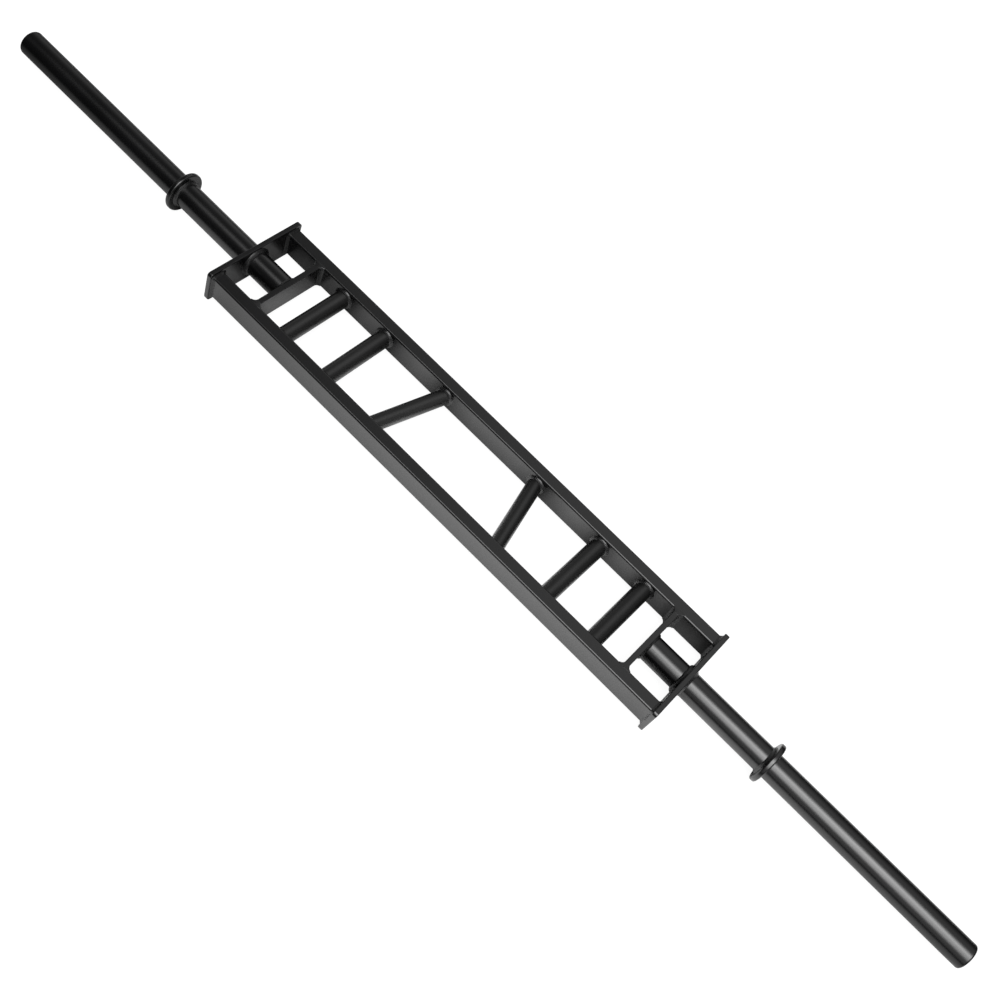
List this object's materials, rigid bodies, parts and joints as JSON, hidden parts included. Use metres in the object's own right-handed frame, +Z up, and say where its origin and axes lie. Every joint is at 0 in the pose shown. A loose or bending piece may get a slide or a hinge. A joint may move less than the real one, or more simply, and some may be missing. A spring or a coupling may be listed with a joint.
{
  "type": "multi-grip barbell",
  "caption": "Swiss bar: a ladder-like frame of box rails with straight and angled pipe grips, welded end plates, and a plate sleeve with a collar at each end.",
  "frame": {"origin": "on the sleeves' axis at the middle of the bar, halfway between the front and rear rails", "axes": "+X along the bar to its right sleeve, -Y to the front rail (the wide ends of the two angled grips), +Y to the rear rail (their near ends), +Z up"},
  "size_m": [2.326, 0.22, 0.0808],
  "materials": {
    "frame_coat": "black powder coat, satin, finely speckled",
    "sleeve_coat": "black powder coat, satin, a little smoother than the frame's",
    "weld_coat": "the same black coat over rippled weld beads",
    "plug_coat": "black coat over the flush end disc"
  },
  "bodies": {
    "root": {"front_rail": "frame_coat", "left_angled_grip": "frame_coat", "left_angled_grip_front_weld": "weld_coat", "left_angled_grip_rear_weld": "weld_coat", "left_collar": "sleeve_coat", "left_collar_weld": "weld_coat", "left_end_plate": "frame_coat", "left_end_plate_inner_weld": "weld_coat", "left_end_plate_outer_weld": "weld_coat", "left_front_rail_weld": "weld_coat", "left_inner_plate": "frame_coat", "left_inner_plate_front_inner_weld": "weld_coat", "left_inner_plate_front_outer_weld": "weld_coat", "left_inner_plate_rear_inner_weld": "weld_coat", "left_inner_plate_rear_outer_weld": "weld_coat", "left_middle_grip": "frame_coat", "left_middle_grip_front_weld": "weld_coat", "left_middle_grip_rear_weld": "weld_coat", "left_outer_grip": "frame_coat", "left_outer_grip_front_weld": "weld_coat", "left_outer_grip_rear_weld": "weld_coat", "left_rear_rail_weld": "weld_coat", "left_sleeve_butt_weld": "weld_coat", "left_sleeve_plug": "plug_coat", "left_sleeve_tube": "sleeve_coat", "rear_rail": "frame_coat", "right_angled_grip": "frame_coat", "right_angled_grip_front_weld": "weld_coat", "right_angled_grip_rear_weld": "weld_coat", "right_collar": "sleeve_coat", "right_collar_weld": "weld_coat", "right_end_plate": "frame_coat", "right_end_plate_inner_weld": "weld_coat", "right_end_plate_outer_weld": "weld_coat", "right_front_rail_weld": "weld_coat", "right_inner_plate": "frame_coat", "right_inner_plate_front_inner_weld": "weld_coat", "right_inner_plate_front_outer_weld": "weld_coat", "right_inner_plate_rear_inner_weld": "weld_coat", "right_inner_plate_rear_outer_weld": "weld_coat", "right_middle_grip": "frame_coat", "right_middle_grip_front_weld": "weld_coat", "right_middle_grip_rear_weld": "weld_coat", "right_outer_grip": "frame_coat", "right_outer_grip_front_weld": "weld_coat", "right_outer_grip_rear_weld": "weld_coat", "right_rear_rail_weld": "weld_coat", "right_sleeve_butt_weld": "weld_coat", "right_sleeve_plug": "plug_coat", "right_sleeve_tube": "sleeve_coat"}
  },
  "joints": []
}
